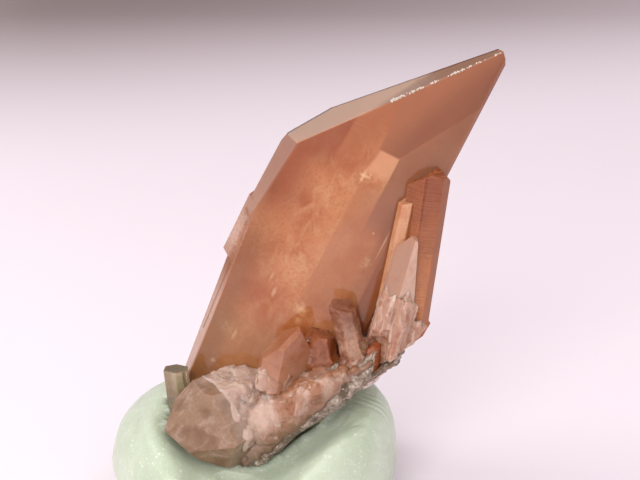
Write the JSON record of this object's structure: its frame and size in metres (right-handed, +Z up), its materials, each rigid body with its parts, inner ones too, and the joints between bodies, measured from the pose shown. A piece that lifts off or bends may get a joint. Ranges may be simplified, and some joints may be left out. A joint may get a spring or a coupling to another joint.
{
  "type": "quartz point",
  "caption": "Leaning flattened crystal point, milky orange, with small crystals and a strip of rock round its foot, standing pressed into a round mound of putty.",
  "frame": {"origin": "centre of the putty mound's flat base, on the surface it stands on", "axes": "+Z up; +X to the right as the broad front face is seen, the way the point leans; -Y out of the broad front face"},
  "size_m": [0.0448, 0.034, 0.0532],
  "materials": {
    "main_crystal": "polished, milky orange-brown",
    "side_crystal": "finely striated, dark orange",
    "peach_crystal": "milky peach",
    "pale_crystal": "milky pinkish white",
    "stubby_crystal": "milky brownish grey, broken rough top",
    "peaked_crystal": "reddish brown",
    "red_crystal": "red-brown",
    "broken_crystal": "brown, broken top",
    "amber_crystal": "deep amber",
    "inner_root_crystal": "whitish, striated",
    "outer_root_crystal": "whitish, striated",
    "clear_crystal": "clear greenish grey",
    "matrix_rock": "rough broken rock, matt",
    "putty_mound": "smooth pale green putty, slight sheen"
  },
  "bodies": {
    "root": {"main_crystal": "main_crystal", "side_crystal": "side_crystal", "peach_crystal": "peach_crystal", "pale_crystal": "pale_crystal", "stubby_crystal": "stubby_crystal", "peaked_crystal": "peaked_crystal", "red_crystal": "red_crystal", "broken_crystal": "broken_crystal", "amber_crystal": "amber_crystal", "inner_root_crystal": "inner_root_crystal", "outer_root_crystal": "outer_root_crystal", "clear_crystal": "clear_crystal", "matrix_rock": "matrix_rock", "putty_mound": "putty_mound"}
  },
  "joints": []
}
